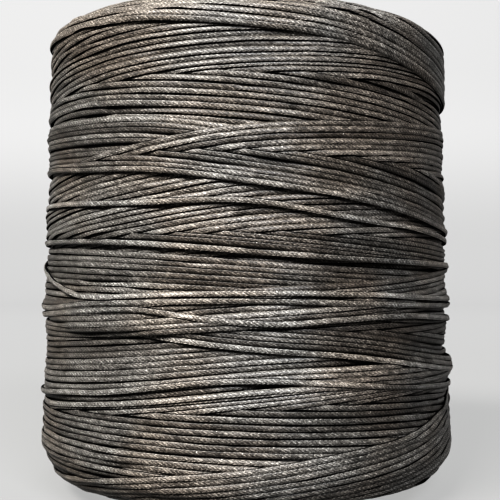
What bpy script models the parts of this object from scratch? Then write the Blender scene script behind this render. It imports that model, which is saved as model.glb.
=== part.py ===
"""Waxed thread spool: flat-braided waxed thread cross-wound on a cardboard tube with end plugs.

Units are metres and +Z is up. The origin is on the spool's axis, at the centre of the face that
the spool stands on. The winding has no flanges: its round shoulders are the thread's own turns.
"""
import math

import bmesh
import bpy
from mathutils import Matrix, Vector

# ---------------------------------------------------------------- driving dimensions (metres)
THREAD_WIDTH = 0.0008            # the flat thread's width, and the depth of one proud turn
WINDING_HEIGHT = 0.0575          # end face to end face
WINDING_RADIUS_TOP = 0.0253      # packed thread under the proud turns, at the top shoulder
WINDING_RADIUS_BOTTOM = 0.0268   # the package is a little wider at its foot
SHOULDER_RADIUS = 0.0033         # round edge where the wall turns into an end face

CORE_RADIUS = 0.0130             # outside of the cardboard tube
CORE_WALL = 0.0020
CORE_OVERHANG = 0.0007           # tube standing out of each end face
NOTCH_WIDTH = 0.0012             # slit in the top rim that holds the thread's start
NOTCH_DEPTH = 0.0035

FLANGE_THICKNESS = 0.0012        # plug's disc outside the tube
FLANGE_INSET = 0.0002            # flange edge inside the tube's outer surface
SKIRT_LENGTH = 0.0100            # plug's wall inside the tube
SKIRT_WALL = 0.0012
WEB_THICKNESS = 0.0012           # floor between the skirt and the sleeve
SPINDLE_RADIUS = 0.0040          # bore for a thread-stand spindle
SLEEVE_WALL = 0.0012
SLEEVE_LENGTH = 0.0085
RIM_WIDTH = 0.0013               # raised rim round the label recess
LABEL_RECESS = 0.0006
LABEL_THICKNESS = 0.0002
RIB_COUNT = 4
RIB_THICKNESS = 0.0010
RIB_LENGTH = 0.0070

FIT_GAP = 0.0003                 # clearance between touching pieces
CHAMFER = 0.0004                 # lead-in on the skirt

ROUND_STEPS = 64                 # facets round the package
CORE_STEPS = 48                  # facets round the tube, the plugs and the label
SHOULDER_STEPS = 5
TURN_POINTS = 60                 # points along one proud turn
TURN_END_ANGLE = 172.0           # degrees from the front where a proud turn dips under the rest

# ---------------------------------------------------------------- derived places
PLUG_SEAT = FLANGE_THICKNESS + FIT_GAP
CORE_FOOT = PLUG_SEAT
WINDING_FOOT = CORE_FOOT + CORE_OVERHANG
WINDING_HEAD = WINDING_FOOT + WINDING_HEIGHT
CORE_HEAD = WINDING_HEAD + CORE_OVERHANG
CORE_BORE = CORE_RADIUS - CORE_WALL
PLUG_SKIRT = CORE_BORE - FIT_GAP
PLUG_FLANGE = CORE_RADIUS - FLANGE_INSET
SLEEVE_RADIUS = SPINDLE_RADIUS + SLEEVE_WALL

# Proud turns: (degrees round from the front, height as a percentage of the winding's height).
# The front of the spool faces -Y, and a positive angle is to the right of it.
PROUD_TURNS = (
    ((-75, 93.4), (-30, 93.4), (0, 92.4), (30, 90.1), (50, 86.8), (75, 82.6), (180, 88.5)),
    ((-75, 68.3), (-30, 67.1), (0, 64.2), (20, 61.4), (40, 58.4), (75, 54.8), (180, 61.5)),
    ((-75, 59.8), (-40, 60.3), (-10, 60.7), (10, 59.0), (30, 55.8), (75, 51.5), (180, 55.6)),
    ((-75, 51.7), (-30, 52.0), (0, 50.4), (30, 48.2), (75, 47.0), (180, 49.3)),
    ((-75, 37.7), (-30, 41.0), (0, 40.2), (40, 40.5), (75, 40.0), (180, 38.9)),
    ((-75, 20.5), (-40, 22.6), (-10, 26.1), (10, 26.0), (30, 24.3), (75, 22.4), (180, 21.5)),
    ((-75, 7.6), (-30, 8.0), (0, 9.2), (20, 10.8), (40, 13.0), (60, 15.5), (75, 16.9), (180, 12.0)),
)


# ---------------------------------------------------------------- scene and helpers
def clear_scene():
    """Remove every object that the file holds."""
    for scene_object in list(bpy.data.objects):
        bpy.data.objects.remove(scene_object, do_unlink=True)


def new_collection(name):
    """Make a collection in the scene."""
    collection = bpy.data.collections.new(name)
    bpy.context.scene.collection.children.link(collection)
    return collection


def plain_material(name, colour, roughness):
    """Principled material of one colour."""
    material = bpy.data.materials.new(name)
    material.use_nodes = True
    shader = material.node_tree.nodes["Principled BSDF"]
    shader.inputs["Base Color"].default_value = (*colour, 1.0)
    shader.inputs["Roughness"].default_value = roughness
    shader.inputs["Metallic"].default_value = 0.0
    return material


def turned_object(name, profile, steps, material, collection):
    """Closed profile of (radius, height) points turned about Z, its outer side running down."""
    mesh = bpy.data.meshes.new(name)
    points = [(radius, 0.0, height) for radius, height in profile]
    edges = [(index, (index + 1) % len(points)) for index in range(len(points))]
    mesh.from_pydata(points, edges, [])
    turned = bpy.data.objects.new(name, mesh)
    collection.objects.link(turned)
    screw = turned.modifiers.new("turn", "SCREW")
    screw.axis = "Z"
    screw.angle = math.tau
    screw.steps = steps
    screw.render_steps = steps
    screw.use_merge_vertices = True
    screw.merge_threshold = 0.00001
    screw.use_smooth_shade = True
    mesh.materials.append(material)
    return turned


def box_cutter(name, size, centre, collection):
    """Box kept out of the model, for cutting or joining."""
    mesh = bpy.data.meshes.new(name)
    builder = bmesh.new()
    bmesh.ops.create_cube(builder, size=1.0, matrix=Matrix.Diagonal((*size, 1.0)))
    builder.to_mesh(mesh)
    builder.free()
    cutter = bpy.data.objects.new(name, mesh)
    cutter.location = centre
    cutter.hide_render = True
    cutter.display_type = "WIRE"
    collection.objects.link(cutter)
    return cutter


def add_boolean(target, tool, operation):
    """Exact Boolean of one object with another."""
    boolean = target.modifiers.new(tool.name, "BOOLEAN")
    boolean.operation = operation
    boolean.solver = "EXACT"
    boolean.object = tool


# ---------------------------------------------------------------- the winding's shape
def wall_radius(height):
    """Radius of the tapered wall between the shoulders, at a height above the winding's foot."""
    share = (height - SHOULDER_RADIUS) / (WINDING_HEIGHT - 2.0 * SHOULDER_RADIUS)
    return WINDING_RADIUS_BOTTOM + (WINDING_RADIUS_TOP - WINDING_RADIUS_BOTTOM) * share


def winding_profile():
    """Outline of the package: round top shoulder, tapered wall, round bottom shoulder, bore."""
    quarter = [math.pi / 2 * step / SHOULDER_STEPS for step in range(SHOULDER_STEPS + 1)]
    top_centre = WINDING_RADIUS_TOP - SHOULDER_RADIUS
    bottom_centre = WINDING_RADIUS_BOTTOM - SHOULDER_RADIUS
    profile = []
    for turn in quarter:
        radius = top_centre + SHOULDER_RADIUS * math.sin(turn)
        profile.append((radius, WINDING_HEAD - SHOULDER_RADIUS * (1.0 - math.cos(turn))))
    for turn in quarter:
        radius = bottom_centre + SHOULDER_RADIUS * math.cos(turn)
        profile.append((radius, WINDING_FOOT + SHOULDER_RADIUS * (1.0 - math.sin(turn))))
    bore = CORE_RADIUS + FIT_GAP
    profile.append((bore, WINDING_FOOT))
    profile.append((bore, WINDING_HEAD))
    return profile


def turn_height(route, angle):
    """Height percentage at an angle, on a smooth closed curve through a turn's points."""
    count = len(route)
    index = max(i for i in range(count) if route[i][0] <= angle) if angle >= route[0][0] else count - 1

    def knot(number):
        laps, place = divmod(number, count)
        return route[place][0] + 360.0 * laps, route[place][1]

    if angle < route[0][0]:
        angle += 360.0
    before, start, end, after = (knot(index + offset) for offset in (-1, 0, 1, 2))
    span = end[0] - start[0]
    rise_in = (end[1] - before[1]) / (end[0] - before[0])
    rise_out = (after[1] - start[1]) / (after[0] - start[0])
    t = (angle - start[0]) / span
    return (
        (2 * t**3 - 3 * t**2 + 1) * start[1]
        + (t**3 - 2 * t**2 + t) * span * rise_in
        + (3 * t**2 - 2 * t**3) * end[1]
        + (t**3 - t**2) * span * rise_out
    )


def turn_points(route):
    """Centre line of one proud turn, lying a gap above the wall."""
    points = []
    for step in range(TURN_POINTS):
        angle = -TURN_END_ANGLE + 2.0 * TURN_END_ANGLE * step / (TURN_POINTS - 1)
        height = turn_height(route, angle) / 100.0 * WINDING_HEIGHT
        radius = wall_radius(height) + FIT_GAP + THREAD_WIDTH / 2
        turn = math.radians(angle)
        points.append(Vector((radius * math.sin(turn), -radius * math.cos(turn), WINDING_FOOT + height)))
    return points


# ---------------------------------------------------------------- pieces
def build_core_tube(material, parts, cutters):
    """Cardboard tube with a notch in its top rim for the thread's start."""
    profile = (
        (CORE_RADIUS, CORE_HEAD),
        (CORE_RADIUS, CORE_FOOT),
        (CORE_BORE, CORE_FOOT),
        (CORE_BORE, CORE_HEAD),
    )
    tube = turned_object("core_tube", profile, CORE_STEPS, material, parts)
    size = (3.0 * CORE_WALL, NOTCH_WIDTH, 2.0 * NOTCH_DEPTH)
    centre = (CORE_RADIUS - CORE_WALL / 2, 0.0, CORE_HEAD)
    add_boolean(tube, box_cutter("notch_cutter", size, centre, cutters), "DIFFERENCE")


def plug_profile():
    """Outline of an end plug whose flange's inner face is at height zero."""
    recess_floor = FLANGE_THICKNESS - LABEL_RECESS
    web_face = recess_floor - WEB_THICKNESS
    skirt_inside = PLUG_SKIRT - SKIRT_WALL
    return (
        (PLUG_FLANGE, FLANGE_THICKNESS),
        (PLUG_FLANGE, 0.0),
        (PLUG_SKIRT, 0.0),
        (PLUG_SKIRT, CHAMFER - SKIRT_LENGTH),
        (PLUG_SKIRT - CHAMFER, -SKIRT_LENGTH),
        (skirt_inside, -SKIRT_LENGTH),
        (skirt_inside, web_face),
        (SLEEVE_RADIUS, web_face),
        (SLEEVE_RADIUS, -SLEEVE_LENGTH),
        (SPINDLE_RADIUS, -SLEEVE_LENGTH),
        (SPINDLE_RADIUS, FLANGE_THICKNESS),
        (SLEEVE_RADIUS, FLANGE_THICKNESS),
        (SLEEVE_RADIUS, recess_floor),
        (PLUG_FLANGE - RIM_WIDTH, recess_floor),
        (PLUG_FLANGE - RIM_WIDTH, FLANGE_THICKNESS),
    )


def build_plug(name, seat, turn_over, material, parts, cutters):
    """Push-in plug at one end of the tube, with ribs between its skirt and its sleeve."""
    plug = turned_object(name, plug_profile(), CORE_STEPS, material, parts)
    pose = Matrix.Translation((0.0, 0.0, seat)) @ Matrix.Rotation(turn_over, 4, "X")
    plug.matrix_world = pose
    web_middle = FLANGE_THICKNESS - LABEL_RECESS - WEB_THICKNESS / 2
    skirt_middle = PLUG_SKIRT - SKIRT_WALL / 2
    sleeve_middle = SPINDLE_RADIUS + SLEEVE_WALL / 2
    size = (skirt_middle - sleeve_middle, RIB_THICKNESS, RIB_LENGTH)
    offset = Vector(((skirt_middle + sleeve_middle) / 2, 0.0, web_middle - RIB_LENGTH / 2))
    for number in range(RIB_COUNT):
        rib = box_cutter(f"{name}_rib_{number + 1}", size, (0.0, 0.0, 0.0), cutters)
        spin = Matrix.Rotation(math.tau * (number + 0.5) / RIB_COUNT, 4, "Z")
        rib.matrix_world = pose @ spin @ Matrix.Translation(offset)
        add_boolean(plug, rib, "UNION")


def build_label(material, parts):
    """Round blank sticker lying in the top plug's recess."""
    floor = CORE_HEAD + FIT_GAP + FLANGE_THICKNESS - LABEL_RECESS + FIT_GAP
    outside = PLUG_FLANGE - RIM_WIDTH - FIT_GAP
    inside = SLEEVE_RADIUS + FIT_GAP
    profile = (
        (outside, floor + LABEL_THICKNESS),
        (outside, floor),
        (inside, floor),
        (inside, floor + LABEL_THICKNESS),
    )
    turned_object("top_label", profile, CORE_STEPS, material, parts)


def build_outer_turn(name, route, material, parts):
    """One turn of thread standing proud of the package."""
    curve = bpy.data.curves.new(name, "CURVE")
    curve.dimensions = "3D"
    curve.bevel_depth = THREAD_WIDTH / 2
    curve.bevel_resolution = 2
    curve.use_fill_caps = True
    points = turn_points(route)
    spline = curve.splines.new("POLY")
    spline.points.add(len(points) - 1)
    for spline_point, point in zip(spline.points, points):
        spline_point.co = (*point, 1.0)
    spline.use_smooth = True
    curve.materials.append(material)
    parts.objects.link(bpy.data.objects.new(name, curve))


def build_spool():
    """Build the whole spool."""
    clear_scene()
    parts = new_collection("waxed_thread_spool")
    cutters = new_collection("cutters")
    thread = plain_material("waxed_thread", (0.115, 0.100, 0.088), 0.48)
    cardboard = plain_material("cardboard", (0.42, 0.31, 0.20), 0.85)
    plastic = plain_material("plug_plastic", (0.80, 0.79, 0.76), 0.40)
    paper = plain_material("label_paper", (0.86, 0.85, 0.81), 0.60)

    build_core_tube(cardboard, parts, cutters)
    turned_object("thread_winding", winding_profile(), ROUND_STEPS, thread, parts)
    build_plug("bottom_end_plug", CORE_FOOT - FIT_GAP, math.pi, plastic, parts, cutters)
    build_plug("top_end_plug", CORE_HEAD + FIT_GAP, 0.0, plastic, parts, cutters)
    build_label(paper, parts)
    for number, route in enumerate(PROUD_TURNS):
        build_outer_turn(f"outer_turn_{number + 1}", route, thread, parts)


build_spool()
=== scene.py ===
"""Waxed thread spool: every visible turn of the thread, laid on the package in winding order.

The winding's sums are in millimetres and every mesh is in metres. The front faces -Y, an angle is
measured round from the front, positive to the right, and a place on the package's outline is its
distance along the outline, which on the straight wall equals the height above the table.
"""
import math

import bpy
import numpy as np
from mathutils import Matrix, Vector


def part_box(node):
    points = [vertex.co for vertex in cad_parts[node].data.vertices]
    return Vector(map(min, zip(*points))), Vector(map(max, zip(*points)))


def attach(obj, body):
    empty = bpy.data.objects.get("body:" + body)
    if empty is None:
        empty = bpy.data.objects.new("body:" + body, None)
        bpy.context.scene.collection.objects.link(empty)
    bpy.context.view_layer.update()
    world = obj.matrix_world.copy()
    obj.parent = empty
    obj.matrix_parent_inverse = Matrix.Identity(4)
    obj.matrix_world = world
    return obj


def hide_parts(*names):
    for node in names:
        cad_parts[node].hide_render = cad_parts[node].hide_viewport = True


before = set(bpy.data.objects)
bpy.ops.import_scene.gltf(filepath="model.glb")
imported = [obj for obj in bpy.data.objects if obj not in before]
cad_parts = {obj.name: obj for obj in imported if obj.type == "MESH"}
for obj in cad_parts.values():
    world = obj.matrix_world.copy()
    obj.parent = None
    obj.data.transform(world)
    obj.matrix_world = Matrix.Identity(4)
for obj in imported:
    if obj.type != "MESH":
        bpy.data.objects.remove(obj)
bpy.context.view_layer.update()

MM = 0.001
RNG = np.random.default_rng(19)

# ---------------------------------------------------------------- the thread (mm)
THREAD_WIDTH = 0.73
THREAD_THICK = 0.46
LAY_WIDTH = 0.64           # width that presses on what lies beneath
LAY_THICK = 0.33           # thickness after the turns above have squeezed the braid
SQUARENESS = 2.4           # power of the laid section's outline; 2 is an ellipse
STITCH = 0.56              # length of one stitch of the flat braid
RINGS_PER_STITCH = 3
RELIEF = 0.022             # height of a stitch
RELIEF_MIDDLE = 0.6        # the part of a stitch's rise that lies below the plain section
YARN_SLANT = 0.9           # stitches that a yarn runs on from the braid's middle to its edge
TAUTNESS = 0.92            # 1 bridges every hollow, 0 follows every dip
SLACK = {"edge": 0.06, "single": 0.20}     # proud turns stand this far off what they lie on
LEAN_SHARE = 0.55          # how far a turn leans with the slope it lies on
MOST_LEAN = 0.40
LIMIT = 0.28               # above this height over the outline the pile is pressed down
PRESSED = 0.28             # share of the height over the limit that is left

# ---------------------------------------------------------------- the package (mm)
LOW, HIGH = (np.array(corner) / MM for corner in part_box("thread_winding"))
FOOT = LOW[2]
HEAD = HIGH[2]
COVER = 0.40               # the drawn turns stand about this far over the CAD winding
DEPTH = 0.42               # from their tops down to the outline that they are laid on
TAPER = 1.2                # the outline's radius at the head is smaller by this
FOOT_RADIUS = HIGH[0] + COVER - DEPTH
HEAD_RADIUS = FOOT_RADIUS - TAPER
HEAD_SHOULDER = 3.3        # radius of the rounding between the wall and each end face
FOOT_SHOULDER = 4.6
MIDDLE_RADIUS = 26.5       # turns an angle into a length where a rough one will do
WALL_START = FOOT + FOOT_SHOULDER
WALL_END = HEAD - HEAD_SHOULDER
FOOT_RIM = WALL_START - FOOT_SHOULDER * math.pi / 2
HEAD_RIM = WALL_END + HEAD_SHOULDER * math.pi / 2
CORE_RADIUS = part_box("core_tube")[1][0] / MM
TUBE_CLEARANCE = 0.3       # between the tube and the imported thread

# ---------------------------------------------------------------- how evenly it is wound (mm)
GROUND_PITCH = 0.78        # between the even turns under the bands
GROUND_DRIFT = 0.12
FACE_LAPS = ((0.78, 0.10), (0.66, 0.30))   # pitch and drift of each lap over an end face
FACE_FIRST = 0.4           # first turn's distance from the rim
TUBE_GAP = 0.8             # between an end face's last turn and the tube
BAND_DRIFT = 0.02
BAND_JITTER = 0.05         # of a turn's place in its band, in turns
TWIST_DRIFT = 0.05         # radians
TWIST_SPREAD = 0.06        # radians
WIDTH_SPREAD = 0.03        # as a share of the width
THICK_SPREAD = 0.06        # as a share of the thickness
PLAIN_TONES = (0.0, 0.85)
# Painted light: proud turns get lighter tones than the rest, for the light they catch.
PROUD_LIT_TONES = (1.0, 1.2)   # proud turns catch more light

# ---------------------------------------------------------------- the field of heights
COLUMNS = 720              # round the package
COLUMN_ANGLE = 360.0 / COLUMNS
ANGLES = np.arange(COLUMNS) * COLUMN_ANGLE - 180.0
ROW = 0.05                 # mm along the outline
FIELD_MARGIN = 1.5         # mm past the innermost turns of the end faces
EDGE_MARGIN = 0.5          # mm of it that no turn reaches
FACE_WIDTH = HEAD_RADIUS - HEAD_SHOULDER - CORE_RADIUS - TUBE_GAP
FIELD_START = FOOT_RIM - FACE_WIDTH - FIELD_MARGIN
FIELD_END = HEAD_RIM + FACE_WIDTH + FIELD_MARGIN
FIELD_ROWS = int((FIELD_END - FIELD_START) / ROW) + 1
BED_BLUR = (2.2, 4.0)      # mm along the outline and round it
BED_DEPTH = 0.05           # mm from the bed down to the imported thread
HIDDEN_DEPTH = 0.10        # mm of cover that hides a turn
SHOWN_MARGIN = 8           # columns drawn past each end of what shows
SHORTEST_RUN = 6           # columns
MOST_FACES = 81_000        # a mesh takes no further turn past this count

# Bands of parallel turns: how many, then the places of the first and last turn at these angles.
STATIONS = (-75, -50, -25, 0, 25, 50, 75, 180)
BANDS = {
    "rise_low": (14, (21.4, 22.3, 23.2, 24.0, 24.4, 24.6, 24.6, 22.8),
                 (12.1, 13.0, 14.3, 15.7, 16.1, 15.9, 15.7, 14.0)),
    "fall_low": (8, (27.0, 26.6, 26.0, 25.0, 24.0, 22.6, 21.4, 24.0),
                 (23.9, 23.4, 22.4, 21.2, 20.2, 18.3, 16.7, 20.3)),
    "rise_foot": (10, (11.6, 12.8, 14.1, 15.4, 16.2, 16.5, 16.6, 14.0),
                  (6.2, 7.0, 8.5, 10.3, 12.0, 12.9, 13.2, 9.2)),
    "fall_foot": (16, (15.5, 15.8, 15.9, 15.8, 15.3, 14.6, 13.6, 14.8),
                  (5.0, 5.0, 4.9, 4.4, 3.7, 3.0, 2.4, 3.8)),
    "fall_middle": (9, (31.0, 31.0, 30.6, 29.8, 29.0, 28.4, 28.0, 29.5),
                    (25.2, 25.2, 25.2, 24.9, 24.0, 23.0, 22.4, 23.8)),
    "rise_middle": (21, (39.6, 41.2, 43.0, 44.6, 45.3, 45.8, 46.0, 42.8),
                    (26.5, 28.0, 29.6, 31.3, 32.0, 32.3, 32.3, 30.0)),
    "fall_waist": (6, (35.6, 35.8, 35.4, 34.4, 33.3, 32.3, 31.6, 33.2),
                   (32.7, 32.9, 32.6, 31.8, 30.7, 29.6, 28.8, 30.4)),
    "fall_upper": (9, (46.4, 46.2, 45.8, 44.3, 42.7, 40.8, 39.1, 43.0),
                   (41.6, 41.2, 40.8, 39.4, 37.8, 35.8, 34.1, 38.1)),
    "fall_high": (14, (52.4, 52.9, 52.6, 51.8, 50.8, 49.5, 48.2, 50.4),
                  (43.5, 43.8, 43.2, 42.2, 41.0, 39.8, 38.8, 41.0)),
    "rise_high": (15, (55.4, 56.8, 57.6, 57.9, 57.8, 57.8, 57.0, 55.2),
                  (45.6, 47.0, 48.6, 49.6, 50.2, 50.2, 49.6, 47.6)),
    "rise_right": (7, (24.6, 25.0, 25.8, 26.7, 27.2, 27.9, 28.5, 26.6),
                   (20.8, 21.2, 22.0, 22.9, 23.6, 24.3, 24.7, 22.8)),
    "top_band": (9, (62.4, 62.4, 62.2, 61.2, 60.0, 57.6, 55.6, 60.0),
                 (57.4, 57.2, 56.9, 55.9, 54.7, 52.4, 50.3, 54.5)),
    "foot_band": (10, (3.0, 4.2, 5.9, 7.2, 8.6, 10.0, 12.5, 7.5),
                  (-2.5, -1.5, 0.0, 1.2, 2.4, 3.7, 5.6, 1.6)),
}

# Single turns that lie over the rest: (angle, place) pairs.
SINGLES = {
    "waist_turn": ((-75, 32.0), (-50, 32.2), (-25, 31.9), (0, 31.1), (25, 30.3), (50, 29.7),
                   (75, 29.2), (180, 30.4)),
    "upper_turn": ((-75, 41.0), (-60, 40.9), (-50, 40.6), (-25, 40.2), (0, 38.8), (25, 37.2),
                   (50, 35.2), (75, 33.5), (180, 37.5)),
    "steep_turn": ((-75, 28.6), (-60, 27.0), (-45, 25.8), (-30, 26.0), (0, 26.5), (25, 26.3),
                   (50, 25.6), (75, 25.0), (180, 27.0)),
    "low_turn": ((-75, 24.0), (-60, 24.2), (-50, 24.7), (-40, 25.1), (-25, 25.4), (0, 25.7),
                 (25, 25.3), (50, 24.7), (75, 24.2), (180, 24.1)),
    "dipping_turn": ((-75, 23.0), (-60, 23.5), (-50, 23.9), (-40, 24.3), (-28, 24.6), (-20, 24.3),
                     (-10, 23.7), (0, 23.3), (10, 23.15), (20, 23.4), (30, 23.6), (40, 23.65),
                     (50, 23.4), (60, 23.0), (75, 22.5), (180, 22.7)),
    "bright_turn": ((-75, 36.5), (-50, 36.6), (-25, 36.5), (0, 36.6), (12, 35.9), (25, 34.9),
                    (50, 33.6), (75, 32.4), (180, 34.2)),
    "foot_turn": ((-75, 13.3), (-60, 14.0), (-50, 14.5), (-40, 14.9), (-30, 15.5), (-20, 16.2),
                  (-10, 16.8), (0, 17.0), (10, 16.9), (20, 16.5), (30, 16.1), (40, 15.6),
                  (50, 15.2), (60, 14.8), (75, 14.2), (180, 13.6)),
}

# A proud turn low down that the last rising turn crosses.
LOW_EDGE = ((-75, 23.1), (-60, 23.1), (-50, 22.8), (-42, 22.5), (-25, 21.75), (0, 20.5),
            (25, 19.4), (50, 17.6), (75, 16.1), (180, 19.6))

# Lights on the spool: azimuth, elevation, size (m), power (W) and colour.
LIGHTS = {
    "key": (-36, 43, (0.40, 0.16), 14.8, (1.0, 0.98, 0.95)),
    "front": (16, 34, (0.30, 0.16), 7.5, (0.97, 0.99, 1.03)),
}
LIGHT_DISTANCE = 0.70      # m
MIDDLE = (0.0, 0.0, 0.031)                 # what they are aimed at
CAMERA_PLACE = (0.0, -0.1325, (FOOT + HEAD) / 2 * MM + 0.00025)


def smooth_route(points):
    """Places at every column, on a smooth closed curve through (angle, place) points."""
    knots = np.array(points, float)
    count = len(knots)
    angle, place = knots[:, 0], knots[:, 1]
    gap = np.diff(np.append(angle, angle[0] + 360.0))
    rise = (np.roll(place, -1) - place) / gap
    before, here = np.roll(gap, 1), gap
    # Slopes that make the curve's bend run on unbroken through every point.
    system = np.zeros((count, count))
    row = np.arange(count)
    system[row, row] = 2 * (before + here)
    system[row, row - 1] = here
    system[row, (row + 1) % count] = before
    slope = np.linalg.solve(system, 3 * (here * np.roll(rise, 1) + before * rise))
    turn = (ANGLES - angle[0]) % 360.0
    cell = np.searchsorted(angle - angle[0], turn, side="right") - 1
    after = (cell + 1) % count
    span = gap[cell]
    t = (turn - (angle[cell] - angle[0])) / span
    return (
        (2 * t**3 - 3 * t**2 + 1) * place[cell]
        + (t**3 - 2 * t**2 + t) * span * slope[cell]
        + (3 * t**2 - 2 * t**3) * place[after]
        + (t**3 - t**2) * span * slope[after]
    )


def wander(size):
    """Slow sideways drift of a hand-guided thread, in mm at every column."""
    drift = np.zeros(COLUMNS)
    for wave in (1, 2, 3, 5, 7):
        phase = RNG.uniform(0, math.tau)
        drift += RNG.normal(0, size / math.sqrt(wave)) * np.sin(np.radians(wave * ANGLES) + phase)
    return drift


def band_turns(name):
    """The routes of a band's turns, first to last."""
    count, first, last = BANDS[name]
    first = smooth_route(tuple(zip(STATIONS, first)))
    last = smooth_route(tuple(zip(STATIONS, last)))
    turns = []
    for number in range(count):
        share = (number + RNG.normal(0, BAND_JITTER)) / (count - 1)
        turns.append((name, first * (1 - share) + last * share + wander(BAND_DRIFT)))
    return turns


def woven(rising, falling):
    """Two crossing lists of turns, laid alternately so that each dips under the other's next."""
    order = []
    for number in range(max(len(rising), len(falling))):
        order += rising[number:number + 1]
        order += falling[number:number + 1]
    return order


def face_turns(start, direction):
    """Turns that run round one end face, from its rim to the tube."""
    turns = []
    for pitch, drift in FACE_LAPS:
        place = start + direction * FACE_FIRST
        while abs(place - start) < FACE_WIDTH:
            route = np.full(COLUMNS, place) + wander(drift)
            route = np.clip(route, FIELD_START + EDGE_MARGIN, FIELD_END - EDGE_MARGIN)
            turns.append(("face", route))
            place += direction * pitch
    return turns


def winding_order():
    """Every turn in the order it goes on, and how many of them make the even package."""
    # Even turns all the way up and over both end faces, under everything else.
    turns = []
    place = FOOT_RIM
    while place < HEAD_RIM:
        turns.append(("ground", np.full(COLUMNS, place) + wander(GROUND_DRIFT)))
        place += GROUND_PITCH
    turns += face_turns(HEAD_RIM, 1) + face_turns(FOOT_RIM, -1)

    # The bands from the foot to the head. Where a rising and a falling band cross, they weave.
    up, down = band_turns("rise_foot")[::-1], band_turns("fall_foot")
    turns += up[:3] + woven(up[3:], down)
    up, down = band_turns("rise_low")[::-1], band_turns("fall_low")
    turns += up[:6] + woven(up[6:-1], down)
    turns += [("edge", smooth_route(LOW_EDGE)), up[-1]]
    middle = band_turns("rise_middle")[::-1]
    turns += woven(middle[:7], band_turns("fall_waist")) + middle[7:12]
    turns += band_turns("fall_middle")
    turns += woven(band_turns("rise_high")[::-1], band_turns("fall_high"))
    turns += woven(middle[12:], band_turns("fall_upper"))
    turns += band_turns("rise_right")[::-1]
    even = len(turns)

    # The bands over the two shoulders, and the single turns over the rest.
    turns += band_turns("top_band") + band_turns("foot_band")[::-1]
    turns += [("single", smooth_route(points)) for points in SINGLES.values()]
    return turns, even


# ---------------------------------------------------------------- the package's outline
def wall_radius(height):
    """Radius of the tapered wall."""
    return FOOT_RADIUS + (HEAD_RADIUS - FOOT_RADIUS) * (height - FOOT) / (HEAD - FOOT)


def outline(place):
    """Radius, height and outward direction at a distance along the outline."""
    place = np.asarray(place, float)
    radius = wall_radius(np.clip(place, WALL_START, WALL_END))
    height = np.clip(place, WALL_START, WALL_END)
    tilt = np.zeros_like(place)
    ends = ((WALL_END, 1.0, HEAD_SHOULDER), (WALL_START, -1.0, FOOT_SHOULDER))
    for edge, side, shoulder in ends:
        past = np.maximum((place - edge) * side, 0.0)
        bend = np.minimum(past / shoulder, math.pi / 2)
        inward = past - shoulder * bend
        radius = radius - shoulder * (1 - np.cos(bend)) - inward
        height = height + side * shoulder * np.sin(bend)
        tilt = tilt + side * bend
    return radius, height, np.cos(tilt), np.sin(tilt)


# ---------------------------------------------------------------- laying the thread
REACH = int(LAY_WIDTH / 2 / ROW)
OFFSETS = np.arange(-REACH, REACH + 1)[:, None]
# Place across the laid turn, from 0 at its middle to just under 1 at its edges.
ACROSS = np.abs(OFFSETS * ROW / (LAY_WIDTH / 2 + 0.01))
ROUNDING = (1 - ACROSS ** SQUARENESS) ** (1 / SQUARENESS) * LAY_THICK / 2
COLUMN_INDEX = np.arange(COLUMNS)[None, :]
THIRD = REACH * 2 // 3     # rows in the outer third of a laid turn
THIRDS_APART = LAY_WIDTH * 0.75


def footprint(route):
    """Rows of the field that a turn lies on, at every column."""
    centre_row = np.clip(np.round((route - FIELD_START) / ROW), REACH, FIELD_ROWS - REACH - 1)
    return centre_row.astype(int)[None, :] + OFFSETS


def eased(values):
    """Values at every column, smoothed over about 2 mm."""
    soft = np.array([1, 4, 8, 10, 8, 4, 1]) / 36.0
    return sum(weight * np.roll(values, shift) for weight, shift in zip(soft, range(-3, 4)))


def taut(radius):
    """Radius of a string pulled tight round a closed outline, its convex hull."""
    angle = np.radians(ANGLES)
    x, y = radius * np.cos(angle), radius * np.sin(angle)
    first = int(np.argmax(radius))
    order = [(first + step) % COLUMNS for step in range(COLUMNS + 1)]
    kept = []
    for index in order:
        while len(kept) > 1:
            a, b = kept[-2], kept[-1]
            if (x[b] - x[a]) * (y[index] - y[a]) - (y[b] - y[a]) * (x[index] - x[a]) > 0:
                break
            kept.pop()
        kept.append(index)
    turn = np.array([(index - first) % COLUMNS for index in kept], float)
    turn[-1] = COLUMNS
    steps = np.arange(COLUMNS)
    cell = np.clip(np.searchsorted(turn, steps, side="right") - 1, 0, len(turn) - 2)
    corner = np.array(kept)
    step_angle = math.tau / COLUMNS
    start, end = radius[corner[cell]], radius[corner[cell + 1]]
    before = (steps - turn[cell]) * step_angle
    after = (turn[cell + 1] - steps) * step_angle
    bridged = start * end * np.sin(before + after) / (start * np.sin(before) + end * np.sin(after))
    result = np.empty(COLUMNS)
    result[(first + steps) % COLUMNS] = bridged
    return np.maximum(result, radius)


def lay(field, name, route):
    """Lay one turn on the field. Returns its centre's offset from the outline and its lean."""
    rows = footprint(route)
    beneath = field[rows, COLUMN_INDEX]
    rise = beneath[-THIRD:].max(axis=0) - beneath[:THIRD].max(axis=0)
    lean = np.clip(eased(rise / THIRDS_APART) * LEAN_SHARE, -MOST_LEAN, MOST_LEAN)
    tilted = ROUNDING + OFFSETS * ROW * lean[None, :]
    rest = (beneath + ROUNDING - OFFSETS * ROW * lean[None, :]).max(axis=0)
    radius, _, outward, _ = outline(route)
    pull = outward**2 * TAUTNESS
    centre = rest + pull * (taut(radius + rest) - radius - rest)
    centre = eased(centre) + SLACK.get(name, 0.0)
    field[rows, COLUMN_INDEX] = np.maximum(beneath, centre + tilted)
    return centre, lean


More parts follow.
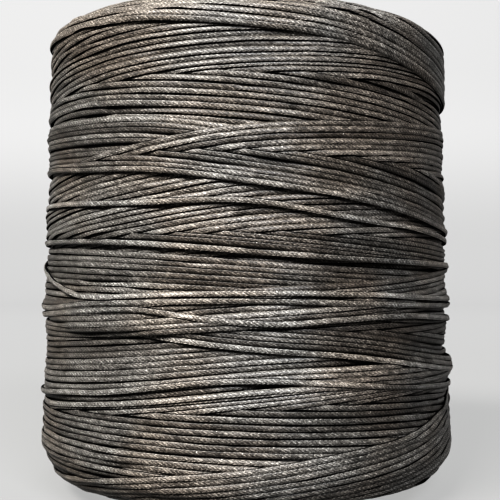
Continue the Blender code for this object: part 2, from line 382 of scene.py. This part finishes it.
def blurred(field, along, across):
    """Field smoothed by `along` mm up the outline and `across` mm round it."""
    pad = FIELD_ROWS // 4
    tall = np.pad(field, ((pad, pad), (0, 0)), mode="edge")
    up = np.fft.fftfreq(tall.shape[0], ROW)[:, None]
    column = math.tau * MIDDLE_RADIUS / COLUMNS
    round_it = np.fft.rfftfreq(COLUMNS, column)[None, :]
    keep = np.exp(-2 * math.pi**2 * ((up * along) ** 2 + (round_it * across) ** 2))
    return np.fft.irfft2(np.fft.rfft2(tall) * keep, tall.shape)[pad:-pad]


def wind(turns, even):
    """Lay the turns twice: first to see how the pile grows, then on a bed that evens it out."""
    field = np.zeros((FIELD_ROWS, COLUMNS))
    for name, route in turns[:even]:
        lay(field, name, route)
    bed = -blurred(field, *BED_BLUR)
    field = bed.copy()
    laid = [lay(field, name, route) for name, route in turns]
    return field, bed, laid


def pressed(centre):
    """Offsets from the outline with the highest of the pile pressed down, still in their order."""
    return np.minimum(centre, LIMIT) + np.maximum(centre - LIMIT, 0.0) * PRESSED


def shown_columns(field, route, centre):
    """Which columns of a turn can be seen between the turns over it."""
    cover = field[footprint(route), COLUMN_INDEX] - centre - ROUNDING
    seen = cover.min(axis=0) < HIDDEN_DEPTH
    spread = seen.copy()
    for shift in range(1, SHOWN_MARGIN + 1):
        spread |= np.roll(seen, shift) | np.roll(seen, -shift)
    return spread


# ---------------------------------------------------------------- drawing a turn
# The section's corners: across the width from -1 to 1, and up through the thickness. The first
# eight go over the top.
SECTION = np.array([
    (-1.00, -0.15), (-0.95, 0.40), (-0.74, 0.80), (-0.35, 0.96),
    (0.35, 0.96), (0.74, 0.80), (0.95, 0.40), (1.00, -0.15),
    (0.60, -0.85), (-0.60, -0.85),
])
SIDES = len(SECTION)
# The corners' places for the material: 0 to 1 over the top, and 1 to 2 back underneath.
ROUND_PLACE = np.array([0.0, 0.12, 0.24, 0.38, 0.62, 0.76, 0.88, 1.0, 1.35, 1.65, 2.0])
UNDERSIDE = 1.5
LID = np.array([(0, 9, 8, 7), (0, 7, 6, 1), (1, 6, 5, 2), (2, 5, 4, 3)])


def runs_of(shown):
    """Start column and length of each unbroken run, or the whole turn as one closed run."""
    if shown.all():
        return [(0, COLUMNS, True)]
    starts = np.flatnonzero(shown & ~np.roll(shown, 1))
    ends = np.flatnonzero(shown & ~np.roll(shown, -1))
    runs = []
    for start in starts:
        length = min((end - start) % COLUMNS for end in ends) + 1
        if length > SHORTEST_RUN:
            runs.append((start, length, False))
    return runs


def paced(route, centre, twist, run):
    """Angle, place, offset and lean of a run of a turn, at even steps along the thread."""
    start, length, closed = run
    columns = np.arange(start, start + length + (1 if closed else 0))
    angle = np.radians(columns * COLUMN_ANGLE - 180.0)
    place, offset, lean = (values[columns % COLUMNS] for values in (route, centre, twist))
    radius, height, _, _ = outline(place)
    walked = np.hypot(np.gradient(height), (radius + offset) * math.radians(COLUMN_ANGLE))
    distance = np.concatenate([[0.0], np.cumsum((walked[1:] + walked[:-1]) / 2)])
    rings = max(int(round(distance[-1] / STITCH)), 2) * RINGS_PER_STITCH
    along = np.linspace(0, distance[-1], rings + (0 if closed else 1), endpoint=not closed)
    return [np.interp(along, distance, values) for values in (angle, place, offset, lean)]


def braided_section(count, scale):
    """Each ring's corners across and up the thread, with the stitches standing out."""
    across, high = SECTION[:, 0], SECTION[:, 1]
    stitch = np.arange(count)[:, None] / RINGS_PER_STITCH
    phase = stitch + (YARN_SLANT * np.abs(across) + 0.5 * (across > 0))[None, :]
    bump = (np.abs(np.sin(math.pi * phase)) - RELIEF_MIDDLE) * RELIEF * (high > -0.5)[None, :]
    sideways = bump * np.sign(across)[None, :] * 0.6
    upward = bump * (high > 0.3)[None, :]
    wide = across[None, :] * THREAD_WIDTH / 2 * scale[0] + sideways
    tall = high[None, :] * THREAD_THICK / 2 * scale[1] + upward
    return wide, tall


def tube_points(angle, place, offset, lean, scale, closed):
    """Corners of a run's rings, ring by ring."""
    radius, height, out, up = outline(place)
    sine, cosine = np.sin(angle), -np.cos(angle)
    normal = np.stack([out * sine, out * cosine, up], 1)
    spread = radius + offset * out
    centre_line = np.stack([spread * sine, spread * cosine, height + offset * up], 1)
    forward = np.gradient(centre_line, axis=0)
    if closed:
        forward = np.roll(centre_line, -1, 0) - np.roll(centre_line, 1, 0)
    forward /= np.linalg.norm(forward, axis=1)[:, None]
    side = np.cross(forward, normal)
    side /= np.linalg.norm(side, axis=1)[:, None]
    normal = np.cross(side, forward)
    wide, tall = braided_section(len(angle), scale)
    cosine, sine = np.cos(lean)[:, None], np.sin(lean)[:, None]
    leaning_wide = wide * cosine - tall * sine
    leaning_tall = wide * sine + tall * cosine
    points = (
        centre_line[:, None, :]
        + leaning_wide[:, :, None] * side[:, None, :]
        + leaning_tall[:, :, None] * normal[:, None, :]
    )
    return points.reshape(-1, 3)


def tube_faces(count, closed):
    """Quads of a run of so many rings, and where each quad's corners lie on the braid."""
    ring = np.arange(count if closed else count - 1)[:, None]
    corner = np.arange(SIDES)[None, :]
    next_ring, next_corner = (ring + 1) % count, (corner + 1) % SIDES
    near, next_near = ring * SIDES + corner, ring * SIDES + next_corner
    far, next_far = next_ring * SIDES + corner, next_ring * SIDES + next_corner
    faces = np.stack([near, next_near, next_far, far], 2).reshape(-1, 4)
    u_near = np.broadcast_to(ring / RINGS_PER_STITCH, near.shape)
    u_far = u_near + 1.0 / RINGS_PER_STITCH
    v_low = np.broadcast_to(ROUND_PLACE[:-1][None, :], near.shape)
    v_high = np.broadcast_to(ROUND_PLACE[1:][None, :], near.shape)
    pairs = ((u_near, v_low), (u_near, v_high), (u_far, v_high), (u_far, v_low))
    places = np.stack([np.stack(pair, 2) for pair in pairs], 2).reshape(-1, 2)
    if not closed:
        lids = np.concatenate([LID, LID[:, ::-1] + (count - 1) * SIDES])
        faces = np.concatenate([faces, lids])
        places = np.concatenate([places, np.full((lids.size, 2), UNDERSIDE)])
    return faces, places


def add_object(name, mesh, material):
    """Smooth-shaded object with one material."""
    mesh.shade_smooth()
    mesh.materials.append(material)
    made = bpy.data.objects.new(name, mesh)
    bpy.context.scene.collection.objects.link(made)
    return made


class Strand:
    """Gathers turns into one mesh of quads."""

    def __init__(self):
        self.points, self.faces, self.places, self.tones_and_light = [], [], [], []
        self.count = 0
        self.face_count = 0

    def add_run(self, course, scale, tone_and_light, closed):
        """Add the tube of one run; its course is what paced() gives."""
        points = tube_points(*course, scale, closed)
        faces, places = tube_faces(len(course[0]), closed)
        self.points.append(points)
        self.faces.append(faces + self.count)
        self.places.append(places)
        self.tones_and_light.append(np.full(len(points), tone_and_light))
        self.count += len(points)
        self.face_count += len(faces)

    def build(self, name, material):
        """Make the mesh object."""
        points = np.concatenate(self.points) * MM
        faces = np.concatenate(self.faces)
        mesh = bpy.data.meshes.new(name)
        mesh.vertices.add(len(points))
        mesh.vertices.foreach_set("co", points.astype(np.float32).ravel())
        mesh.loops.add(faces.size)
        mesh.loops.foreach_set("vertex_index", faces.astype(np.int32).ravel())
        mesh.polygons.add(len(faces))
        mesh.polygons.foreach_set("loop_start", np.arange(0, faces.size, 4, dtype=np.int32))
        mesh.update(calc_edges=True)
        layer = mesh.uv_layers.new(name="Thread")
        layer.data.foreach_set("uv", np.concatenate(self.places).astype(np.float32).ravel())
        tone_and_light = mesh.attributes.new("tone_and_light", "FLOAT", "POINT")
        tone_and_light.data.foreach_set("value", np.concatenate(self.tones_and_light).astype(np.float32))
        return add_object(name, mesh, material)


# ---------------------------------------------------------------- materials
YARN_COLUMNS = 3.0         # columns of yarn across the braid's top
YARN_LEAN = 0.85           # stitches that a yarn runs on while it crosses a column
BRAID_DEPTH = 0.00007      # m
BOARD_LAYER = 0.00045      # m, thickness of one layer of the tube's paper
SEAM_TURNS = 28.0          # turns of the tube's spiral seam in a metre
LABEL_LINE = 0.90          # radius of the label's printed line, as a share of the label's own


class Nodes:
    """Short way to write a material's nodes."""

    def __init__(self, name):
        self.material = bpy.data.materials.new(name)
        self.material.use_nodes = True
        self.tree = self.material.node_tree
        self.shader = self.tree.nodes["Principled BSDF"]

    def link(self, source, target):
        """Join two sockets."""
        self.tree.links.new(source, target)

    def node(self, kind, **settings):
        """Add a node and set its properties."""
        made = self.tree.nodes.new(kind)
        for key, value in settings.items():
            setattr(made, key, value)
        return made

    def math(self, operation, *values):
        """Result of one operation on sockets and numbers."""
        made = self.node("ShaderNodeMath", operation=operation)
        for socket, value in zip(made.inputs, values):
            if isinstance(value, (int, float)):
                socket.default_value = value
            else:
                self.link(value, socket)
        return made.outputs[0]

    def plus(self, first, second):
        """Sum of two values."""
        return self.math("ADD", first, second)

    def times(self, first, second):
        """Product of two values."""
        return self.math("MULTIPLY", first, second)

    def smooth_step(self, value, start, end):
        """0 at the start and 1 at the end, level at both."""
        made = self.node("ShaderNodeMapRange", interpolation_type="SMOOTHSTEP")
        self.link(value, made.inputs["Value"])
        made.inputs["From Min"].default_value = start
        made.inputs["From Max"].default_value = end
        return made.outputs[0]

    def ramp(self, factor, *stops):
        """Colour from a ramp of (position, colour) stops."""
        made = self.node("ShaderNodeValToRGB")
        elements = made.color_ramp.elements
        while len(elements) < len(stops):
            elements.new(0.5)
        for element, (position, colour) in zip(elements, stops):
            element.position = position
            element.color = (*colour, 1.0)
        self.link(factor, made.inputs[0])
        return made.outputs[0]

    def noise(self, vector, scale, detail=2.0, roughness=0.5):
        """Cloudy value at a place."""
        made = self.node("ShaderNodeTexNoise")
        made.inputs["Scale"].default_value = scale
        made.inputs["Detail"].default_value = detail
        made.inputs["Roughness"].default_value = roughness
        self.link(vector, made.inputs["Vector"])
        return made.outputs["Fac"]

    def mix(self, factor, first, second, blend="MIX"):
        """Blend of two colours."""
        made = self.node("ShaderNodeMix", data_type="RGBA", blend_type=blend)
        sockets = (made.inputs[0], made.inputs[6], made.inputs[7])
        for socket, value in zip(sockets, (factor, first, second)):
            if isinstance(value, (int, float)):
                socket.default_value = value
            elif isinstance(value, tuple):
                socket.default_value = (*value, 1.0)
            else:
                self.link(value, socket)
        return made.outputs[2]

    def bump(self, height, distance, strength=1.0):
        """Normal of a surface with relief."""
        made = self.node("ShaderNodeBump")
        made.inputs["Strength"].default_value = strength
        made.inputs["Distance"].default_value = distance
        self.link(height, made.inputs["Height"])
        return made.outputs[0]

    def place(self):
        """Place on the object, in metres."""
        return self.node("ShaderNodeTexCoord").outputs["Object"]


def braid_pattern(made, along, round_place, tone_and_light):
    """Place along each yarn, column across the braid, height of the yarns, and the braid's top.

    The yarns run slantwise in columns across the braid, every other column slanting back. A
    turn's tone shifts its pattern, so that no two turns match.
    """
    column = made.times(round_place, YARN_COLUMNS)
    slant = made.times(made.math("PINGPONG", column, 1.0), YARN_LEAN)
    shift = made.times(made.math("FLOOR", column), 0.5)
    uneven = made.times(tone_and_light, 11.0)
    phase = made.plus(made.plus(along, slant), made.plus(shift, uneven))
    yarn = made.math("ABSOLUTE", made.math("SINE", made.times(phase, math.pi)))
    edge = made.math("ABSOLUTE", made.math("SINE", made.times(column, math.pi)))
    pillow = made.times(made.math("POWER", yarn, 1.5), made.math("POWER", edge, 0.5))
    flank = made.math("ABSOLUTE", made.math("SUBTRACT", round_place, 0.5))
    # The braid's top: 1 over it and 0 down the flanks; below it paints shade into the colour
    # there.
    top = made.smooth_step(flank, 0.385, 0.25)
    return phase, column, pillow, top


def stitch_shade(made, phase, column, tone_and_light):
    """Random value from 0 to 1 for each stitch of each turn."""
    cell = made.node("ShaderNodeCombineXYZ")
    made.link(made.math("FLOOR", phase), cell.inputs[0])
    made.link(made.math("FLOOR", column), cell.inputs[1])
    made.link(made.times(tone_and_light, 91.0), cell.inputs[2])
    shade = made.node("ShaderNodeTexWhiteNoise", noise_dimensions="3D")
    made.link(cell.outputs[0], shade.inputs["Vector"])
    return shade.outputs["Value"]


def fibre_streaks(made, phase, column, tone_and_light):
    """Light and dark streaks that run along the yarns."""
    place = made.node("ShaderNodeCombineXYZ")
    made.link(made.times(phase, 2.4), place.inputs[0])
    made.link(made.times(column, 2.0), place.inputs[1])
    made.link(made.times(tone_and_light, 37.0), place.inputs[2])
    return made.noise(place.outputs[0], 1.5, 3.0, 0.70)


def thread_material():
    """Flat braid of dark grey-brown polyester with a coat of wax."""
    made = Nodes("waxed_thread_braid")
    apart = made.node("ShaderNodeSeparateXYZ")
    made.link(made.node("ShaderNodeUVMap", uv_map="Thread").outputs[0], apart.inputs[0])
    along, round_place = apart.outputs[0], apart.outputs[1]
    tone_and_light = made.node("ShaderNodeAttribute", attribute_name="tone_and_light").outputs["Fac"]
    phase, column, pillow, top = braid_pattern(made, along, round_place, tone_and_light)
    stitch = stitch_shade(made, phase, column, tone_and_light)
    fibres = fibre_streaks(made, phase, column, tone_and_light)
    where = made.place()

    # The yarns' own colour, with painted shade that darkens it in the grooves between the yarns
    # and down the flanks.
    lively = made.plus(made.times(fibres, 0.9), made.times(stitch, 0.1))
    colour = made.ramp(
        lively,
        (0.36, (0.010, 0.0092, 0.0083)),
        (0.50, (0.065, 0.0612, 0.0563)),
        (0.64, (0.212, 0.2060, 0.1960)),
    )
    raised = made.times(made.plus(made.times(pillow, 0.55), 0.45), top)
    # Painted shade: near-black in the grooves between yarns and down the flanks, where shade
    # falls.
    colour = made.mix(raised, (0.001, 0.001, 0.001), colour)

    # Each turn is a little lighter or darker, the proud turns lighter still as painted light for
    # the light they catch, and the dye and wax vary over some millimetres.
    patches = made.noise(where, 110.0, 1.5, 0.5)
    hue = made.noise(where, 80.0, 1.0, 0.5)
    shade = made.plus(made.times(tone_and_light, 0.45), made.times(patches, 0.42))
    shade = made.ramp(shade, (0.16, (0.60, 0.57, 0.54)), (0.71, (1.50, 1.50, 1.49)))
    colour = made.mix(1.0, colour, shade, "MULTIPLY")
    tint = made.ramp(hue, (0.40, (1.03, 0.96, 0.90)), (0.60, (0.99, 1.00, 1.01)))
    colour = made.mix(1.0, colour, tint, "MULTIPLY")

    # Pale specks of wax that are also painted glints: lighter colour on the yarn tops standing in
    # for highlights.
    wax_specks_and_glints = made.smooth_step(made.noise(where, 2900.0, 1.0, 0.5), 0.75, 0.79)
    wax_specks_and_glints = made.times(wax_specks_and_glints, made.times(top, 0.8))
    colour = made.mix(wax_specks_and_glints, colour, (0.30, 0.285, 0.265))
    made.link(colour, made.shader.inputs["Base Color"])

    wax = made.noise(where, 1700.0, 2.0, 0.5)
    rough = made.plus(made.times(wax, 0.45), made.times(stitch, 0.18))
    rough = made.plus(made.plus(rough, 0.55), made.times(raised, -0.35))
    made.link(rough, made.shader.inputs["Roughness"])
    made.link(made.times(raised, 0.65), made.shader.inputs["Coat Weight"])
    made.shader.inputs["Coat Roughness"].default_value = 0.48
    made.shader.inputs["Specular IOR Level"].default_value = 0.06
    height = made.plus(pillow, made.times(fibres, 0.9))
    made.link(made.bump(height, BRAID_DEPTH), made.shader.inputs["Normal"])
    return made.material


def bed_shade_material():
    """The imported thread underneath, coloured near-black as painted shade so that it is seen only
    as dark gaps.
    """
    made = Nodes("packed_thread")
    grain = made.noise(made.place(), 900.0, 3.0)
    # Painted shade: far darker than the thread itself, for the shade in the gaps between turns.
    colour = made.ramp(grain, (0.3, (0.004, 0.003, 0.003)), (0.7, (0.015, 0.013, 0.011)))
    made.link(colour, made.shader.inputs["Base Color"])
    made.shader.inputs["Roughness"].default_value = 0.7
    return made.material


def cylinder_place(made):
    """Place, distance from the axis, part of a turn round it, and height; lengths in metres."""
    where = made.place()
    apart = made.node("ShaderNodeSeparateXYZ")
    made.link(where, apart.inputs[0])
    x, y, z = apart.outputs
    radius = made.math("SQRT", made.plus(made.times(x, x), made.times(y, y)))
    turn = made.times(made.math("ARCTAN2", y, x), 1.0 / math.tau)
    return where, radius, turn, z


def cardboard_material():
    """Brown paper wound on the slant, with its layers showing as rings at the tube's ends."""
    made = Nodes("spiral_wound_board")
    where, radius, turn, z = cylinder_place(made)
    seam = made.math("FRACT", made.plus(turn, made.times(z, SEAM_TURNS)))
    seam = made.smooth_step(made.math("ABSOLUTE", made.math("SUBTRACT", seam, 0.5)), 0.004, 0.012)
    layers = made.math("ABSOLUTE", made.math("SINE", made.times(radius, math.pi / BOARD_LAYER)))
    fibres = made.noise(where, 1400.0, 4.0, 0.7)
    mottle = made.noise(where, 160.0, 3.0, 0.6)
    colour = made.ramp(
        made.plus(made.times(fibres, 0.6), made.times(mottle, 0.4)),
        (0.30, (0.085, 0.052, 0.028)),
        (0.70, (0.235, 0.155, 0.088)),
    )
    colour = made.mix(made.math("POWER", layers, 0.4), (0.050, 0.030, 0.016), colour)
    colour = made.mix(seam, (0.045, 0.027, 0.015), colour)
    made.link(colour, made.shader.inputs["Base Color"])
    made.link(made.plus(made.times(fibres, 0.25), 0.65), made.shader.inputs["Roughness"])
    height = made.plus(fibres, made.plus(seam, layers))
    made.link(made.bump(height, 0.00008, 0.6), made.shader.inputs["Normal"])
    return made.material


def plastic_material():
    """Off-white moulded plastic: fine grain, faint turning marks and a little dust."""
    made = Nodes("off_white_moulding")
    where, radius, _, z = cylinder_place(made)
    grain = made.noise(where, 2600.0, 2.0, 0.5)
    cloud = made.noise(where, 120.0, 3.0, 0.6)
    marks = made.node("ShaderNodeCombineXYZ")
    made.link(made.times(radius, 3000.0), marks.inputs[0])
    made.link(made.times(z, 900.0), marks.inputs[1])
    marks = made.noise(marks.outputs[0], 1.0, 2.0, 0.5)
    soil = made.plus(made.times(cloud, 0.7), made.times(marks, 0.3))
    colour = made.ramp(soil, (0.30, (0.215, 0.203, 0.180)), (0.60, (0.285, 0.275, 0.252)))
    made.link(colour, made.shader.inputs["Base Color"])
    made.link(made.plus(made.times(cloud, 0.30), 0.25), made.shader.inputs["Roughness"])
    made.shader.inputs["Subsurface Weight"].default_value = 0.08
    made.shader.inputs["Subsurface Scale"].default_value = 0.001
    height = made.plus(made.times(grain, 0.5), marks)
    made.link(made.bump(height, 0.00003, 0.5), made.shader.inputs["Normal"])
    return made.material


def label_material():
    """Blank uncoated paper with one plain grey line near its rim."""
    made = Nodes("blank_paper_label")
    where, radius, _, _ = cylinder_place(made)
    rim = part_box("top_label")[1][0]
    fibres = made.noise(where, 1900.0, 4.0, 0.7)
    cloud = made.noise(where, 220.0, 2.0, 0.5)
    paper = made.ramp(
        made.plus(made.times(fibres, 0.5), made.times(cloud, 0.5)),
        (0.35, (0.200, 0.172, 0.132)),
        (0.65, (0.275, 0.245, 0.200)),
    )
    line = made.math("ABSOLUTE", made.math("SUBTRACT", radius, rim * LABEL_LINE))
    line = made.smooth_step(line, 0.00012, 0.00022)
    made.link(made.mix(line, (0.060, 0.055, 0.050), paper), made.shader.inputs["Base Color"])
    made.link(made.plus(made.times(fibres, 0.2), 0.70), made.shader.inputs["Roughness"])
    made.link(made.bump(fibres, 0.00003, 0.6), made.shader.inputs["Normal"])
    return made.material


def stage_material():
    """Plain pale floor and backdrop that glow enough to keep the spool's shadow faint."""
    made = Nodes("pale_stage")
    place = made.node("ShaderNodeNewGeometry").outputs["Position"]
    apart = made.node("ShaderNodeSeparateXYZ")
    made.link(place, apart.inputs[0])
    wall = made.smooth_step(apart.outputs[2], 0.035, 0.125)
    far = made.smooth_step(apart.outputs[1], -0.05, 0.35)
    glow = made.mix(far, (0.318, 0.318, 0.316), (0.372, 0.372, 0.372))
    glow = made.mix(wall, glow, (0.345, 0.345, 0.346))
    made.link(glow, made.shader.inputs["Emission Color"])
    colour = made.mix(wall, (0.04, 0.04, 0.04), (0.10, 0.10, 0.10))
    made.link(colour, made.shader.inputs["Base Color"])
    made.shader.inputs["Emission Strength"].default_value = 1.0
    made.shader.inputs["Roughness"].default_value = 0.9
    made.shader.inputs["Specular IOR Level"].default_value = 0.0
    return made.material


# ---------------------------------------------------------------- pieces
def build_turns(material):
    """Lay the whole winding and draw what can be seen of it, in as many meshes as it takes."""
    turns, even = winding_order()
    field, bed, laid = wind(turns, even)
    strands = [Strand()]
    for (name, route), (centre, lean) in zip(turns, laid):
        twist = wander(TWIST_DRIFT) + RNG.normal(0, TWIST_SPREAD) - lean
        scale = (RNG.normal(1.0, WIDTH_SPREAD), RNG.normal(1.0, THICK_SPREAD))
        # A turn's tone varies at random; proud turns get the higher tones, which are painted
        # light.
        tone_and_light = RNG.uniform(*(PROUD_LIT_TONES if name in SLACK else PLAIN_TONES))
        for run in runs_of(shown_columns(field, route, centre)):
            course = paced(route, pressed(centre), twist, run)
            strands[-1].add_run(course, scale, tone_and_light, closed=run[2])
        if strands[-1].face_count > MOST_FACES:
            strands.append(Strand())
    filled = [strand for strand in strands if strand.face_count]
    pieces = [
        strand.build(f"turns_{number:02d}", material)
        for number, strand in enumerate(filled, 1)
    ]
    return pieces, bed


def build_bed(bed, material):
    """Closed ring of packed thread under the turns, following the bed that they lie on."""
    every_row, every_column = 16, 4    # samples of the field that are kept
    rows = np.arange(0, FIELD_ROWS, every_row)
    place = FIELD_START + rows * ROW
    radius, height, out, up = outline(place)
    offset = bed[rows][:, ::every_column] - BED_DEPTH
    angle = np.radians(ANGLES[::every_column])
    count = len(angle)
    spread = radius[:, None] + offset * out[:, None]
    level = height[:, None] + offset * up[:, None]
    inner = np.full(count, CORE_RADIUS + TUBE_CLEARANCE)
    spread = np.vstack([inner, spread, inner])
    level = np.vstack([level[0], level, level[-1]])
    points = np.stack([spread * np.sin(angle), -spread * np.cos(angle), level], 2).reshape(-1, 3)
    lines = len(rows) + 2
    line = np.arange(lines)[:, None]
    column = np.arange(count)[None, :]
    next_line, next_column = (line + 1) % lines, (column + 1) % count
    here, right = line * count + column, line * count + next_column
    above, above_right = next_line * count + column, next_line * count + next_column
    faces = np.stack([here, right, above_right, above], 2).reshape(-1, 4)
    mesh = bpy.data.meshes.new("packed_thread")
    mesh.from_pydata((points * MM).tolist(), [], faces.tolist())
    return add_object("packed_thread", mesh, material)


def dress(node, material):
    """Give a CAD node that stays in view its own material."""
    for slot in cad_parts[node].material_slots:
        slot.material = material


def build_stage(material):
    """Floor that curves up into a backdrop."""
    floor_front, floor_back, curve_radius, wall_top, half_width = -1.2, 0.42, 0.16, 1.4, 1.6
    curve_steps = 16
    profile = [(floor_front, 0.0), (floor_back, 0.0)]
    for step in range(1, curve_steps + 1):
        bend = math.pi / 2 * step / curve_steps
        back = floor_back + curve_radius * math.sin(bend)
        profile.append((back, curve_radius * (1 - math.cos(bend))))
    profile.append((floor_back + curve_radius, wall_top))
    points = [(x, y, z) for y, z in profile for x in (-half_width, half_width)]
    faces = [(2 * i, 2 * i + 1, 2 * i + 3, 2 * i + 2) for i in range(len(profile) - 1)]
    mesh = bpy.data.meshes.new("stage")
    mesh.from_pydata(points, [], faces)
    stage = add_object("stage", mesh, material)


def around(middle, distance, azimuth, elevation):
    """Point at a distance from the middle; azimuth 0 is the front, and positive to the right."""
    turn, lift = math.radians(azimuth), math.radians(elevation)
    flat = distance * math.cos(lift)
    return (
        middle[0] + flat * math.sin(turn),
        middle[1] - flat * math.cos(turn),
        middle[2] + distance * math.sin(lift),
    )


def add_light(name, place, target, size, power, colour):
    """Soft area light aimed at a point."""
    light = bpy.data.lights.new(name, "AREA")
    light.shape = "RECTANGLE"
    light.size, light.size_y = size
    light.energy = power
    light.color = colour
    lamp = bpy.data.objects.new(name, light)
    lamp.location = place
    lamp.rotation_euler = (Vector(target) - Vector(place)).to_track_quat("-Z", "Y").to_euler()
    bpy.context.scene.collection.objects.link(lamp)


def add_world():
    """Dim surroundings for the light they cast, shown as a pale studio."""
    world = bpy.data.worlds.new("studio")
    bpy.context.scene.world = world
    world.use_nodes = True
    tree = world.node_tree
    dim = tree.nodes["Background"]
    dim.inputs["Strength"].default_value = 0.014
    dim.inputs["Color"].default_value = (1.0, 0.75, 0.55, 1.0)
    pale = tree.nodes.new("ShaderNodeBackground")
    pale.inputs["Color"].default_value = (0.44, 0.44, 0.44, 1.0)
    seen = tree.nodes.new("ShaderNodeLightPath")
    blend = tree.nodes.new("ShaderNodeMixShader")
    tree.links.new(seen.outputs["Is Camera Ray"], blend.inputs[0])
    tree.links.new(dim.outputs[0], blend.inputs[1])
    tree.links.new(pale.outputs[0], blend.inputs[2])
    tree.links.new(blend.outputs[0], tree.nodes["World Output"].inputs["Surface"])


def add_camera():
    """Level camera at the spool's mid-height, close in front of it."""
    camera = bpy.data.cameras.new("camera")
    camera.sensor_width = 36.0
    camera.lens = 70.56
    camera.shift_x = 0.008
    camera.clip_start = 0.01
    holder = bpy.data.objects.new("camera", camera)
    holder.location = CAMERA_PLACE
    holder.rotation_euler = (math.pi / 2, 0.0, 0.0)
    bpy.context.scene.collection.objects.link(holder)
    bpy.context.scene.camera = holder


def main():
    """Make everything."""
    add_camera()
    thread = thread_material()
    pieces, bed = build_turns(thread)
    heart = build_bed(bed, bed_shade_material())
    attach(heart, "spool")
    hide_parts("thread_winding")
    for piece in pieces:
        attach(piece, "spool")
    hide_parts(*[f"outer_turn_{number}" for number in range(1, 8)])
    plastic = plastic_material()
    dress("core_tube", cardboard_material())
    dress("top_end_plug", plastic)
    dress("bottom_end_plug", plastic)
    dress("top_label", label_material())
    build_stage(stage_material())
    for name, (azimuth, elevation, size, power, colour) in LIGHTS.items():
        place = around(MIDDLE, LIGHT_DISTANCE, azimuth, elevation)
        add_light(name, place, MIDDLE, size, power, colour)
    add_light("backdrop", (0.0, 0.35, 0.95), (0.0, 0.60, 0.15), (1.0, 0.4), 3.5, (1.0, 1.0, 1.0))
    add_world()
    bpy.context.scene.view_settings.view_transform = "Standard"
    bpy.context.scene.view_settings.look = "Very High Contrast"


main()
